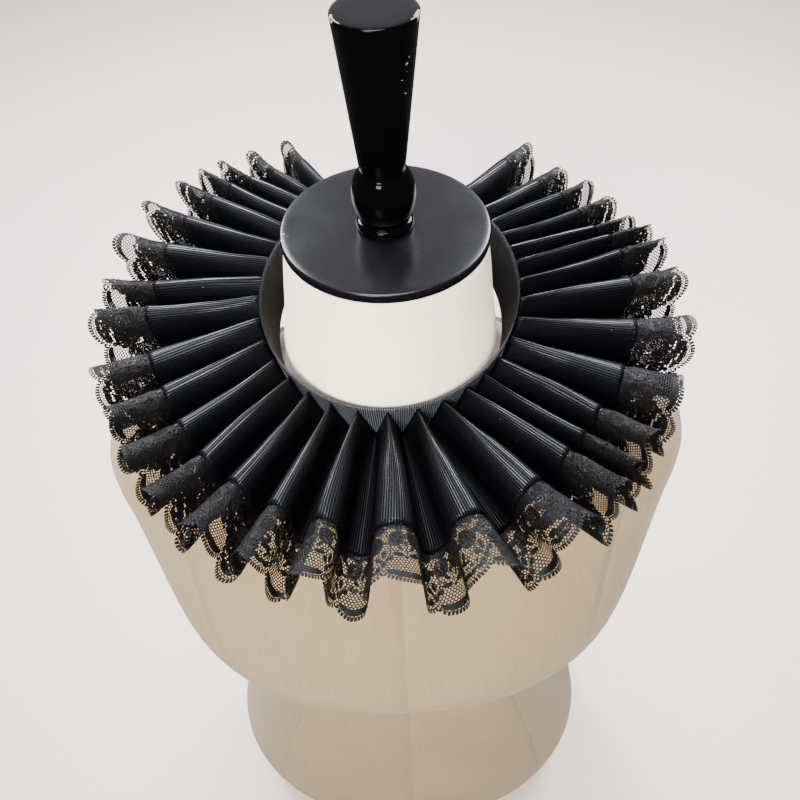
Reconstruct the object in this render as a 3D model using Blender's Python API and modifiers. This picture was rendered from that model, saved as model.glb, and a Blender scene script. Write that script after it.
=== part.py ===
"""Pleated ribbon ruff with a lace edge, worn by a limbless dress form.

Metres, +Z up. The front of the form faces -Y and the origin is the middle of its flat base.
Angles round the neck run from the front (0) towards +X, the wearer's left.
"""

import math

import bmesh
import bpy
from mathutils import Vector

for old in list(bpy.data.objects):
    bpy.data.objects.remove(old, do_unlink=True)

MM = 0.001
CM = 0.01

# Dress form
NECK_TOP_Z = 0.6737
NECK_AXIS_Y = 0.010
BODY_SIDES = 40
# Height, half width, half depth, centre behind (+) the origin, squareness of the outline
BODY_SECTIONS = (
    (0.000, 0.163, 0.113, 0.000, 2.2),
    (0.004, 0.166, 0.116, 0.000, 2.2),
    (0.060, 0.173, 0.121, -0.002, 2.2),
    (0.100, 0.170, 0.119, -0.002, 2.2),
    (0.150, 0.154, 0.109, -0.002, 2.2),
    (0.200, 0.134, 0.098, -0.002, 2.2),
    (0.235, 0.125, 0.092, -0.002, 2.2),
    (0.270, 0.124, 0.092, -0.003, 2.2),
    (0.310, 0.133, 0.101, -0.007, 2.2),
    (0.345, 0.148, 0.114, -0.013, 2.3),
    (0.375, 0.159, 0.123, -0.017, 2.3),
    (0.400, 0.167, 0.126, -0.018, 2.3),
    (0.425, 0.173, 0.122, -0.015, 2.3),
    (0.455, 0.180, 0.111, -0.009, 2.3),
    (0.485, 0.187, 0.098, -0.003, 2.3),
    (0.508, 0.191, 0.087, 0.000, 2.4),
    (0.526, 0.189, 0.078, 0.001, 2.4),
    (0.542, 0.172, 0.071, 0.002, 2.3),
    (0.556, 0.138, 0.068, 0.002, 2.2),
    (0.570, 0.096, 0.066, 0.0015, 2.1),
    (0.582, 0.073, 0.0605, 0.001, 2.0),
    (0.595, 0.064, 0.0590, 0.0002, 2.0),
    (0.612, 0.0625, 0.0605, 0.0005, 2.0),
    (0.635, 0.0595, 0.0575, 0.0038, 2.0),
    (0.655, 0.0578, 0.0562, 0.0075, 2.0),
    (NECK_TOP_Z, 0.0555, 0.0555, NECK_AXIS_Y, 2.0),
)

# Lacquered neck cap and finial: radius and height above the neck's top
TURNED_SIDES = 40
CAP_SHAPE = (
    (0.0000, 0.0003),
    (0.0560, 0.0003),
    (0.0570, 0.0014),
    (0.0570, 0.0048),
    (0.0562, 0.0059),
    (0.0545, 0.0063),
    (0.0000, 0.0063),
)
FINIAL_SIDES = 28
FINIAL_SHAPE = (
    (0.0000, 0.0066),
    (0.0145, 0.0066),
    (0.0155, 0.0078),
    (0.0156, 0.0100),
    (0.0146, 0.0115),
    (0.0132, 0.0121),
    (0.0146, 0.0150),
    (0.0164, 0.0200),
    (0.0172, 0.0255),
    (0.0169, 0.0310),
    (0.0155, 0.0362),
    (0.0134, 0.0396),
    (0.0118, 0.0406),
    (0.0121, 0.0440),
    (0.0144, 0.0650),
    (0.0198, 0.1178),
    (0.0202, 0.1196),
    (0.0199, 0.1208),
    (0.0000, 0.1208),
)

# Neckband: two tilted rings, its top edge and its bottom edge
BAND_TOP = {"centre": (0.0, 0.009, 0.635), "radius": 0.0750, "tilt": 17.5, "side_tilt": 2.5}
BAND_BOTTOM = {"centre": (0.0, 0.001, 0.612), "radius": 0.0660, "tilt": 20.8, "side_tilt": 2.0}
BAND_THICK = 1.6 * MM
BAND_COLUMNS = 56
BAND_HALF_TURN = 176.0

# Pleated ribbon
RIBBON_WIDTH = 0.071
RIBBON_THICK = 1.2 * MM
RIBBON_ROWS = 3
STEPS_PER_PLEAT = 10
SEAM_GAP = 0.3 * MM
PLEAT_TOP = 0.07
PLEAT_FOOT = 0.93
RIM_HEIGHT = 0.624
RIM_FRONT_FALL = 0.022
PLEAT_DEPTH = 0.029
LEFT_END = -165.5
RIGHT_END = 154.0
# One row per fold, from the back left round the front to the back right:
# angle of the crest at the neck, angle at the rim, radius of the rim in cm, fullness of the crest
FOLDS = (
    (-160, -156, 13.3, 0.10),
    (-153, -147.5, 13.5, 0.05),
    (-148, -141, 14.0, 0.10),
    (-140, -136, 14.5, 0.35),
    (-131, -130, 14.6, 0.15),
    (-122, -121, 14.9, 0.10),
    (-113, -111, 14.7, 0.20),
    (-103, -99, 14.3, 0.10),
    (-93, -92, 14.4, 0.05),
    (-82, -77, 14.1, 0.15),
    (-71, -67, 13.8, 0.25),
    (-60, -57, 13.8, 0.15),
    (-49, -47, 13.9, 0.20),
    (-38, -37, 13.9, 0.30),
    (-27, -26, 13.9, 0.15),
    (-15, -16, 13.8, 0.05),
    (-2.5, -1, 13.7, 0.30),
    (10, 15, 13.9, 0.10),
    (21, 31, 13.8, 0.40),
    (32, 42, 13.6, 0.20),
    (42, 48, 13.6, 0.00),
    (52, 55, 13.5, 0.10),
    (63, 67, 13.9, 0.25),
    (73, 81, 14.3, 0.20),
    (82, 94, 14.5, 0.15),
    (92, 103, 14.6, 0.10),
    (101, 108, 14.5, 0.30),
    (109, 112, 14.0, 0.05),
    (117, 119, 13.9, 0.15),
    (125, 126, 13.9, 0.10),
    (134, 133, 13.6, 0.30),
    (148, 145, 14.0, 0.15),
)

# Lace edging
LACE_WIDTH = 0.037
LACE_THICK = 1.0 * MM
LACE_ROWS = 2
LACE_FRONT_LIFT = 0.006
SCALLOP_LENGTH = 0.0245
SCALLOP_DEPTH = 0.006

# Back closing
TAB_FROM, TAB_TO = 167.0, 193.0
TAB_TOP, TAB_FOOT = 0.12, 0.86
TAB_THICK = 1.4 * MM
TAB_COLUMNS = 12
SNAP_RADIUS = 4.5 * MM
SNAP_THICK = 1.6 * MM
SNAP_ANGLE = 186.0

collection = bpy.data.collections.new("ruff_collar_on_form")
bpy.context.scene.collection.children.link(collection)


def material(name, colour, roughness, metallic=0.0):
    made = bpy.data.materials.new(name)
    made.use_nodes = True
    shader = made.node_tree.nodes["Principled BSDF"]
    shader.inputs["Base Color"].default_value = (*colour, 1.0)
    shader.inputs["Roughness"].default_value = roughness
    shader.inputs["Metallic"].default_value = metallic
    return made


def finish(name, bm, made_material):
    """Turn a bmesh into a named object of the collection, its faces outward."""
    bmesh.ops.recalc_face_normals(bm, faces=bm.faces)
    if bm.calc_volume(signed=True) < 0:
        bmesh.ops.reverse_faces(bm, faces=bm.faces)
    mesh = bpy.data.meshes.new(name)
    bm.to_mesh(mesh)
    bm.free()
    mesh.materials.append(made_material)
    made = bpy.data.objects.new(name, mesh)
    collection.objects.link(made)
    return made


def cloth_wall(name, columns, rows, place, thickness, made_material):
    """A grid moved point by point onto its place, then given a thickness both ways."""
    bm = bmesh.new()
    bmesh.ops.create_grid(bm, x_segments=columns, y_segments=rows, size=0.5)
    for vert in bm.verts:
        column = round((vert.co.x + 0.5) * columns)
        row = round((vert.co.y + 0.5) * rows)
        vert.co = place(column, row)
    made = finish(name, bm, made_material)
    wall = made.modifiers.new("Wall", "SOLIDIFY")
    wall.thickness = thickness
    wall.offset = 0.0
    wall.use_even_offset = False
    return made


def turned(name, shape, sides, made_material):
    """A profile of radius and height spun about the neck's axis."""
    bm = bmesh.new()
    points = [bm.verts.new((radius, 0.0, height)) for radius, height in shape]
    edges = [bm.edges.new(pair) for pair in zip(points, points[1:])]
    bmesh.ops.spin(
        bm,
        geom=points + edges,
        cent=(0, 0, 0),
        axis=(0, 0, 1),
        angle=math.tau,
        steps=sides,
        use_merge=True,
    )
    bmesh.ops.remove_doubles(bm, verts=bm.verts, dist=0.00002)
    for vert in bm.verts:
        vert.co += Vector((0.0, NECK_AXIS_Y, NECK_TOP_Z))
    return finish(name, bm, made_material)


def power(value, exponent):
    return math.copysign(abs(value) ** exponent, value)


def build_body():
    bm = bmesh.new()
    rings = []
    for height, half_width, half_depth, behind, square in BODY_SECTIONS:
        ring = []
        for side in range(BODY_SIDES):
            angle = math.tau * side / BODY_SIDES
            x = half_width * power(math.cos(angle), 2.0 / square)
            y = half_depth * power(math.sin(angle), 2.0 / square) + behind
            ring.append(bm.verts.new((x, y, height)))
        rings.append(ring)
    for lower, upper in zip(rings, rings[1:]):
        for side in range(BODY_SIDES):
            after = (side + 1) % BODY_SIDES
            bm.faces.new((lower[side], lower[after], upper[after], upper[side]))
    bm.faces.new(reversed(rings[0]))
    bm.faces.new(rings[-1])
    return finish("form_body", bm, material("form_linen", (0.78, 0.73, 0.64), 0.9))


def ring_point(ring, degrees):
    """A point of a tilted ring, at an angle from the front."""
    angle = math.radians(degrees)
    tilt = math.radians(ring["tilt"])
    side = math.radians(ring["side_tilt"])
    across = ring["radius"] * math.sin(angle)
    forward = ring["radius"] * math.cos(angle)
    x, y, z = ring["centre"]
    return Vector(
        (
            x + across * math.cos(side),
            y - forward * math.cos(tilt),
            z - forward * math.sin(tilt) + across * math.sin(side),
        )
    )


def band_point(degrees, down, out=0.0):
    """A point of the neckband's middle surface, from its top edge (0) to its bottom (1)."""
    top = ring_point(BAND_TOP, degrees)
    bottom = ring_point(BAND_BOTTOM, degrees)
    if not out:
        return top.lerp(bottom, down)
    along = ring_point(BAND_TOP, degrees + 1.0) - ring_point(BAND_TOP, degrees - 1.0)
    normal = along.cross(top - bottom).normalized()
    return top.lerp(bottom, down) + normal * out


def outward(degrees):
    angle = math.radians(degrees)
    return Vector((math.sin(angle), -math.cos(angle), 0.0))


def rim_z(degrees):
    return RIM_HEIGHT - RIM_FRONT_FALL * math.cos(math.radians(degrees))


SEWN_OUT = BAND_THICK / 2 + SEAM_GAP + 0.3 * MM


def crest_ends(fold):
    neck, rim, radius, _ = fold
    end = Vector((0.0, BAND_TOP["centre"][1], rim_z(rim))) + outward(rim) * radius * CM
    return band_point(neck, PLEAT_TOP, SEWN_OUT), end


def valley_ends(neck, rim):
    start = band_point(neck, PLEAT_FOOT, SEWN_OUT)
    fall = rim_z(rim) - PLEAT_DEPTH - start.z
    centre = Vector((0.0, BAND_TOP["centre"][1], 0.0))
    flat = Vector((start.x, start.y, 0.0)) - centre
    reach = flat.length + math.sqrt(RIBBON_WIDTH**2 - fall**2)
    end = centre + outward(rim) * reach
    end.z = start.z + fall
    return start, end


def valleys():
    """The valley lines: one before each fold and one after the last."""
    made = [valley_ends(LEFT_END, FOLDS[0][1] - 4.0)]
    for before, after in zip(FOLDS, FOLDS[1:]):
        made.append(valley_ends((before[0] + after[0]) / 2, (before[1] + after[1]) / 2))
    made.append(valley_ends(RIGHT_END, FOLDS[-1][1] + 4.0))
    return made


CRESTS = [crest_ends(fold) for fold in FOLDS]
VALLEYS = valleys()
COLUMNS = len(FOLDS) * STEPS_PER_PLEAT


def ruffle_point(column, along):
    """A point of the pleated surface. Along is 0 at the neck and 1 at the ribbon's outer edge."""
    fold = min(int(column / STEPS_PER_PLEAT), len(FOLDS) - 1)
    across = (column / STEPS_PER_PLEAT - fold) * 2.0 - 1.0
    crest_start, crest_end = CRESTS[fold]
    valley_start, valley_end = VALLEYS[fold + (across > 0)]
    crest = crest_start + (crest_end - crest_start) * along
    valley = valley_start + (valley_end - valley_start) * along
    away = abs(across)
    soft = min(1.0, along * 1.15) ** 0.8
    broad = 0.35 * math.sin(math.tau * away) / math.tau
    full = FOLDS[fold][3] * math.sin(math.pi * away) / math.pi
    sideways = away + soft * (broad + full)
    down = (1.0 - soft) * away + soft * (1.0 - math.cos(math.pi * away)) / 2.0
    gap = valley - crest
    outwards = Vector((crest_end.x - crest_start.x, crest_end.y - crest_start.y, 0.0)).normalized()
    depth = outwards * gap.dot(outwards)
    depth.z = gap.z
    return crest + (gap - depth) * sideways + depth * down


def build_ribbon(made_material):
    def place(column, row):
        return ruffle_point(column, row / RIBBON_ROWS)

    return cloth_wall(
        "pleated_ribbon", COLUMNS, RIBBON_ROWS, place, RIBBON_THICK, made_material
    )


def lace_point(column, out):
    """A point of the lace, in line with the ribbon and a little raised at the front.
    Out is 0 at the seam with the ribbon and 1 at the tip of a scallop."""
    beyond = SEAM_GAP + (LACE_WIDTH - SEAM_GAP) * out
    point = ruffle_point(column, 1.0 + beyond / RIBBON_WIDTH)
    to_front = max(0.0, -(point.y - BAND_TOP["centre"][1]) / Vector((point.x, point.y)).length)
    point.z += LACE_FRONT_LIFT * to_front * out**2
    return point


def build_lace():
    """Two columns to each of the ribbon's, and an outer edge of even scallops."""
    columns = COLUMNS * 2
    lengths = [0.0]
    for column in range(columns):
        step = lace_point((column + 1) / 2, 0.75) - lace_point(column / 2, 0.75)
        lengths.append(lengths[-1] + step.length)
    count = round(lengths[-1] / SCALLOP_LENGTH)

    def place(column, row):
        out = row / LACE_ROWS
        if row == LACE_ROWS:
            bump = abs(math.sin(math.pi * count * lengths[column] / lengths[-1])) ** 0.6
            out -= (1.0 - bump) * SCALLOP_DEPTH / LACE_WIDTH
        return lace_point(column / 2, out)

    made_material = material("lace_black", (0.012, 0.012, 0.014), 0.8)
    return cloth_wall("lace_edging", columns, LACE_ROWS, place, LACE_THICK, made_material)


def build_band(made_material):
    def place(column, row):
        degrees = BAND_HALF_TURN * (2.0 * column / BAND_COLUMNS - 1.0)
        return band_point(degrees, row / 2)

    return cloth_wall("neckband", BAND_COLUMNS, 2, place, BAND_THICK, made_material)


def tab_out():
    return BAND_THICK / 2 + SEAM_GAP + TAB_THICK / 2 + 0.1 * MM


def build_tab(made_material):
    def place(column, row):
        degrees = TAB_FROM + (TAB_TO - TAB_FROM) * column / TAB_COLUMNS
        return band_point(degrees, TAB_TOP + (TAB_FOOT - TAB_TOP) * row / 2, tab_out())

    return cloth_wall("closure_tab", TAB_COLUMNS, 2, place, TAB_THICK, made_material)


def build_snap(name, down, made_material):
    """A press stud's cap, flat on the tab."""
    centre = band_point(SNAP_ANGLE, down, tab_out())
    facing = (band_point(SNAP_ANGLE, down, 0.01) - band_point(SNAP_ANGLE, down)).normalized()
    turn = facing.to_track_quat("Z", "Y").to_matrix()
    bm = bmesh.new()
    bmesh.ops.create_cone(
        bm,
        cap_ends=True,
        segments=20,
        radius1=SNAP_RADIUS,
        radius2=SNAP_RADIUS * 0.8,
        depth=SNAP_THICK,
    )
    lift = TAB_THICK / 2 + SNAP_THICK / 2 + 2 * SEAM_GAP
    for vert in bm.verts:
        vert.co = centre + turn @ vert.co + facing * lift
    return finish(name, bm, made_material)


grosgrain = material("grosgrain_black", (0.010, 0.011, 0.016), 0.45)
lacquer = material("lacquer_black", (0.008, 0.008, 0.009), 0.12)
build_body()
turned("neck_cap", CAP_SHAPE, TURNED_SIDES, lacquer)
turned("finial", FINIAL_SHAPE, FINIAL_SIDES, lacquer.copy())
build_band(material("neckband_black", (0.009, 0.010, 0.014), 0.5))
build_ribbon(grosgrain)
build_lace()
build_tab(material("tab_black", (0.009, 0.010, 0.014), 0.5))
build_snap("snap_upper", 0.28, material("snap_steel", (0.35, 0.35, 0.36), 0.3, 1.0))
build_snap("snap_lower", 0.70, material("snap_steel_lower", (0.35, 0.35, 0.36), 0.3, 1.0))
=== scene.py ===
"""Finish of a pleated ribbon ruff with a lace edge, and of the dress form that wears it.

Metres, +Z up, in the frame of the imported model: the front of the form faces -Y, and angles
round the neck run from the front (0) towards +X, the wearer's left. The ruffle follows the same
crest and valley lines as the solids, and each soft piece here takes the place of its solid.
"""

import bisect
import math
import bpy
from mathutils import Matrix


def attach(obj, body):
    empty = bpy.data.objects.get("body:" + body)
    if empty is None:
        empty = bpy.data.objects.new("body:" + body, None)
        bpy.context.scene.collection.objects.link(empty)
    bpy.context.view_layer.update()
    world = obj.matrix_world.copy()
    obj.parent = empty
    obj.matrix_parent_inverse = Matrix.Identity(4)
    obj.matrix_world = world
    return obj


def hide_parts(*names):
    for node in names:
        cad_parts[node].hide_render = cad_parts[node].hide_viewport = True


bl_info = {
    "name": "Ruff collar on a dress form",
    "version": (1, 0, 0),
    "blender": (4, 5, 0),
    "location": "View3D > Sidebar > Ruff",
    "description": "Makes the ribbon, lace, sewing and dress form of a ruff collar",
    "category": "Object",
}

from functools import cached_property

import bmesh
import bpy
from mathutils import Matrix, Vector

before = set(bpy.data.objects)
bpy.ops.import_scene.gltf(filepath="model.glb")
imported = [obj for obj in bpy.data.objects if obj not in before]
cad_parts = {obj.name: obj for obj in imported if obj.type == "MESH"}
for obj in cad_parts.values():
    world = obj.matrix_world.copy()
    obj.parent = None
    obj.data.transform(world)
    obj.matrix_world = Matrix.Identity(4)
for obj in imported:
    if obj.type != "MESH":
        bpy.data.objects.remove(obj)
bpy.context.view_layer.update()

MM = 0.001
CM = 0.01
BODY = "root"

# Dress form: height, half width, half depth, centre behind (+) the origin, squareness
NECK_TOP_Z = 0.6737
NECK_AXIS_Y = 0.010
BODY_SECTIONS = (
    (0.000, 0.163, 0.113, 0.000, 2.2),
    (0.004, 0.166, 0.116, 0.000, 2.2),
    (0.060, 0.173, 0.121, -0.002, 2.2),
    (0.100, 0.170, 0.119, -0.002, 2.2),
    (0.150, 0.154, 0.109, -0.002, 2.2),
    (0.200, 0.134, 0.098, -0.002, 2.2),
    (0.235, 0.125, 0.092, -0.002, 2.2),
    (0.270, 0.124, 0.092, -0.003, 2.2),
    (0.310, 0.133, 0.101, -0.007, 2.2),
    (0.345, 0.148, 0.114, -0.013, 2.3),
    (0.375, 0.159, 0.123, -0.017, 2.3),
    (0.400, 0.167, 0.126, -0.018, 2.3),
    (0.425, 0.173, 0.122, -0.015, 2.3),
    (0.455, 0.180, 0.111, -0.009, 2.3),
    (0.485, 0.187, 0.098, -0.003, 2.3),
    (0.508, 0.191, 0.087, 0.000, 2.4),
    (0.526, 0.189, 0.078, 0.001, 2.4),
    (0.542, 0.172, 0.071, 0.002, 2.3),
    (0.556, 0.138, 0.068, 0.002, 2.2),
    (0.570, 0.096, 0.066, 0.0015, 2.1),
    (0.582, 0.073, 0.0605, 0.001, 2.0),
    (0.595, 0.064, 0.0590, 0.0002, 2.0),
    (0.612, 0.0625, 0.0605, 0.0005, 2.0),
    (0.635, 0.0595, 0.0575, 0.0038, 2.0),
    (0.655, 0.0578, 0.0562, 0.0075, 2.0),
    (NECK_TOP_Z, 0.0555, 0.0555, NECK_AXIS_Y, 2.0),
)
FORM_SIDES = 96
FORM_ROWS = 112
NECK_SEAM = 0.573
PANEL_SEAM_TOP = 0.578
PANEL_SEAMS = 8
LINEN_TURN = 0.13

# Lacquered neck cap and knob: radius and height above the neck's top
CAP_SHAPE = (
    (0.0000, 0.0003),
    (0.0552, 0.0003),
    (0.0563, 0.0005),
    (0.0569, 0.0011),
    (0.0570, 0.0018),
    (0.0570, 0.0046),
    (0.0568, 0.0054),
    (0.0561, 0.0060),
    (0.0550, 0.0063),
    (0.0400, 0.0063),
    (0.0200, 0.0063),
    (0.0000, 0.0063),
)
KNOB_SHAPE = (
    (0.0000, 0.0066),
    (0.0138, 0.0066),
    (0.0150, 0.0069),
    (0.0156, 0.0080),
    (0.0156, 0.0098),
    (0.0150, 0.0110),
    (0.0136, 0.0116),
    (0.0130, 0.0120),
    (0.0134, 0.0130),
    (0.0147, 0.0152),
    (0.0164, 0.0200),
    (0.0172, 0.0255),
    (0.0169, 0.0310),
    (0.0155, 0.0360),
    (0.0133, 0.0394),
    (0.0120, 0.0402),
    (0.0118, 0.0410),
    (0.0121, 0.0440),
    (0.0144, 0.0650),
    (0.0198, 0.1170),
    (0.0202, 0.1190),
    (0.0201, 0.1200),
    (0.0194, 0.1207),
    (0.0170, 0.1208),
    (0.0000, 0.1208),
)
# Worn edges, as radius, height and amount, and the turns in degrees where they are chipped
CAP_EDGES, CAP_CHIPS = ((0.0561, 0.0060, 0.9),), (188.0,)
KNOB_EDGES, KNOB_CHIPS = ((0.0201, 0.1200, 1.0), (0.0194, 0.1207, 0.8)), (200.0, 310.0, 345.0)
CHIP_SPREAD = 14.0
SPECKS, SPECKS_TURN, SPECKS_SPREAD = 0.77, 318.0, 30.0
# A grey lift of the cap's lacquer colour: its haze, and a cool tint that is painted reflection of
# the room
CAP_HAZE_AND_REFLECTION = (0.0014, 0.0015, 0.0022)
WOOD = (0.30, 0.24, 0.18)

# Neckband: two tilted rings, its top edge and its bottom edge
BAND_TOP = {"centre": (0.0, 0.009, 0.635), "radius": 0.0750, "tilt": 17.5, "side_tilt": 2.5}
BAND_BOTTOM = {"centre": (0.0, 0.001, 0.612), "radius": 0.0660, "tilt": 20.8, "side_tilt": 2.0}
BAND_SOLID = 1.6 * MM
BAND_CLOTH = 1.1 * MM
BAND_WIDTH = 0.026
BAND_HALF_TURN = 176.0
BAND_RADIUS = (BAND_TOP["radius"] + BAND_BOTTOM["radius"]) / 2
BAND_COLUMNS, BAND_ROWS = 176, 8
# Painted light: the rib crowns of the band's front middle, this half length each side of the
# front, are painted in this paler colour
PAINTED_LIGHT_HALF = 85 * MM
PAINTED_LIGHT_RIB = (0.055, 0.060, 0.075)

# Pleated ribbon
RIBBON_WIDTH = 0.071
SEAM_GAP = 0.3 * MM
SEWN_OUT = BAND_SOLID / 2 + SEAM_GAP + 0.3 * MM
STEPS_PER_PLEAT = 10
PLEAT_TOP = 0.07
PLEAT_FOOT = 0.93
PLEAT_SWAY = 1.6 * MM
RIM_HEIGHT = 0.624
RIM_FRONT_FALL = 0.022
PLEAT_DEPTH = 0.029
CREST_ROUND = 1.1
LEFT_END = -165.5
RIGHT_END = 154.0
END_TURN = 4.0
# Angle of each crest at the neck, angle at the rim, radius of the rim in cm, fullness
FOLDS = (
    (-160, -156, 13.3, 0.10),
    (-153, -147.5, 13.5, 0.05),
    (-148, -141, 14.0, 0.10),
    (-140, -136, 14.5, 0.35),
    (-131, -130, 14.6, 0.15),
    (-122, -121, 14.9, 0.10),
    (-113, -111, 14.7, 0.20),
    (-103, -99, 14.3, 0.10),
    (-93, -92, 14.4, 0.05),
    (-82, -77, 14.1, 0.15),
    (-71, -67, 13.8, 0.25),
    (-60, -57, 13.8, 0.15),
    (-49, -47, 13.9, 0.20),
    (-38, -37, 13.9, 0.30),
    (-27, -26, 13.9, 0.15),
    (-15, -16, 13.8, 0.05),
    (-2.5, -1, 13.7, 0.30),
    (10, 15, 13.9, 0.10),
    (21, 31, 13.8, 0.40),
    (32, 42, 13.6, 0.20),
    (42, 48, 13.6, 0.00),
    (52, 55, 13.5, 0.10),
    (63, 67, 13.9, 0.25),
    (73, 81, 14.3, 0.20),
    (82, 94, 14.5, 0.15),
    (92, 103, 14.6, 0.10),
    (101, 108, 14.5, 0.30),
    (109, 112, 14.0, 0.05),
    (117, 119, 13.9, 0.15),
    (125, 126, 13.9, 0.10),
    (134, 133, 13.6, 0.30),
    (148, 145, 14.0, 0.15),
)
COLUMNS = len(FOLDS) * STEPS_PER_PLEAT
FRONT_FOLD = 16

# Grosgrain
WARP_PITCH = 0.42 * MM
RIB_DRIFT = 0.25
LINT_SPACING = 9 * MM
LINT_SIZE = 0.018
LINT = (0.30, 0.30, 0.31)

# Lace edging
LACE_WIDTH = 0.037
LACE_FRONT_LIFT = 0.006
SCALLOP_LENGTH = 0.0245
SCALLOP_DEPTH = 0.006
LACE_LAP = 4.5 * MM
LACE_PARTS = ("left", "front", "right")
REPEAT = 2 * SCALLOP_LENGTH
FIRST, SECOND = SCALLOP_LENGTH / 2, SCALLOP_LENGTH * 1.5
HEADING = 2.6 * MM
PICOT_LENGTH, PICOT_WIDTH, PICOT_HEIGHT = 2.6 * MM, 1.52 * MM, 0.3 * MM
PICOT_LEAN = 0.6
FOOT = PICOT_LENGTH * 0.93
CRESCENTS = 6
CRESCENT_APART, CRESCENT_CORD = 0.72 * MM, 0.66 * MM
PINHOLE = 0.15
WORKED_DOWN, WORKED_DENSER, WORKED_WAVE = 17 * MM, 8 * MM, 7 * MM
DENSE_FROM_FRONT = (0.10, 0.24)
LAP_DROP = 0.85 * MM
LACE_CURL = 1.2 * MM

# Back closing
TAB_FROM, TAB_TO = 167.0, 193.0
TAB_TOP, TAB_FOOT = 0.12, 0.86
TAB_SOLID = 1.4 * MM
TAB_CLOTH = TAB_SOLID * 0.95
TAB_WIDTH = 0.018
TAB_OUT = BAND_SOLID / 2 + SEAM_GAP + TAB_SOLID / 2 + 0.1 * MM
TAB_COLUMNS = 40
HEM, HEM_TURN = 0.07, 1.6
STUD_ANGLE = 186.0
STUDS_DOWN = {"upper": 0.28, "lower": 0.70}
STUD_SHAPE = (
    (0.0, 0.00150),
    (0.0016, 0.00145),
    (0.0028, 0.00120),
    (0.0034, 0.00085),
    (0.0037, 0.00100),
    (0.0042, 0.00100),
    (0.0045, 0.00070),
    (0.0045, 0.00030),
    (0.0043, 0.00000),
    (0.0, 0.0),
)
STITCH_SINK = 0.35
SEAM_IN = 2.2 * MM
SEAM_PACE, TOPSTITCH_PACE = 1.35, 1.4
TACKS = (0.018, 0.034, 0.050)

# Camera: place, pitch down and roll in degrees, focal length in mm on a 36 mm sensor
CAMERA_PLACE = (0.0038, -0.3511, 0.9557)
CAMERA_PITCH = 49.37
CAMERA_ROLL = -2.5
CAMERA_LENS = 37.35

# Lights: name, place, size, power setting, share of it, colour, spread, and what it leaves out
AIM = (0.0, 0.0, 0.64)
COOL, WARM = (0.91, 0.94, 1.0), (1.0, 0.95, 0.87)
LIGHTS = (
    ("top_light", (-0.1, -0.15, 2.3), 0.7, "key_power", 1.0, COOL, 180.0, ""),
    ("left_light", (-0.9, 1.1, 1.6), 0.7, "side_power", 1.1, COOL, 180.0, ""),
    ("right_light", (0.9, 1.1, 1.6), 0.7, "side_power", 1.0, COOL, 180.0, ""),
    ("back_light", (-0.2, 1.7, 1.6), 2.2, "back_power", 1.0, COOL, 180.0, ""),
    ("window_glint", (-0.3, -0.8, 1.45), 0.32, "glint_power", 1.0, COOL, 180.0, "visible_diffuse"),
    ("front_light", (-0.4, -1.6, 1.5), 0.9, "front_power", 1.0, WARM, 50.0, "visible_glossy"),
    ("ceiling_light", (-0.9, 1.7, 2.3), 2.2, "ceiling_power", 1.0, WARM, 180.0, "visible_glossy"),
)


# ---------------------------------------------------------------- settings


def colour_setting(name, description, default):
    return bpy.props.FloatVectorProperty(
        name=name,
        description=description,
        subtype="COLOR",
        size=3,
        min=0.0,
        max=1.0,
        default=default,
    )


def length_setting(name, description, default, low, high):
    """A length, given in millimetres."""
    return bpy.props.FloatProperty(
        name=name,
        description=description,
        default=default * MM,
        min=low * MM,
        max=high * MM,
        unit="LENGTH",
        precision=5,
    )


def count_setting(name, description, default, low, high):
    return bpy.props.IntProperty(
        name=name, description=description, default=default, min=low, max=high
    )


def power_setting(name, description, default, unit="POWER"):
    return bpy.props.FloatProperty(
        name=name, description=description, default=default, min=0.0, unit=unit
    )


class RuffFormSettings(bpy.types.PropertyGroup):
    # Below the neck the linen is yellower, and darker as well with painted shade
    body_colour_and_shade: colour_setting(
        "Body linen",
        "Colour of the linen below the neck, which has yellowed more",
        (0.235, 0.172, 0.102),
    )
    linen_colour: colour_setting("Neck linen", "Colour of the neck's linen", (0.98, 0.87, 0.68))
    thread_pitch: length_setting(
        "Linen thread", "Distance between two threads of the linen", 0.85, 0.2, 3
    )
    lacquer_colour: colour_setting(
        "Lacquer", "Colour of the cap and the knob", (0.0006, 0.0006, 0.0007)
    )
    seam_width: length_setting(
        "Panel seam", "Width of the sunk line where two linen panels meet", 1.3, 0.4, 5
    )


class RuffRibbonSettings(bpy.types.PropertyGroup):
    colour: colour_setting("Ribbon", "Colour of the grosgrain", (0.0006, 0.0007, 0.0011))
    rib_pitch: length_setting(
        "Rib", "Distance between two ribs at the ribbon's outer edge", 1.5, 0.4, 5
    )
    thickness: length_setting(
        "Cloth", "Thickness of the ribbon as it is seen at its edges", 0.5, 0.1, 2
    )
    rows: count_setting("Rows", "Faces across the ribbon", 20, 4, 60)
    steps: count_setting("Steps", "Faces along the ribbon in each pleat", 26, 8, 60)


class RuffLaceSettings(bpy.types.PropertyGroup):
    colour: colour_setting("Lace", "Colour of the lace's thread", (0.0010, 0.0010, 0.0011))
    cells: count_setting("Net cells", "Cells of the net along one repeat", 26, 8, 60)
    row_height: length_setting("Net row", "Distance between two rows of the net", 1.5, 0.6, 5)
    net_thread: length_setting("Net thread", "Width of a thread of the net", 0.672, 0.1, 1)
    cord: length_setting("Cord", "Width of the cord round each motif", 0.78, 0.2, 2)
    picots: count_setting("Picots", "Bars along one scallop", 14, 4, 40)


class RuffSewingSettings(bpy.types.PropertyGroup):
    stitch: length_setting("Stitch", "Length of one stitch", 2.4, 0.8, 8)
    thread: length_setting("Thread", "Thickness of the sewing thread", 0.26, 0.1, 1)
    colour: colour_setting(
        "Thread colour", "Colour of the sewing thread", (0.0012, 0.0013, 0.0018)
    )


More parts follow.
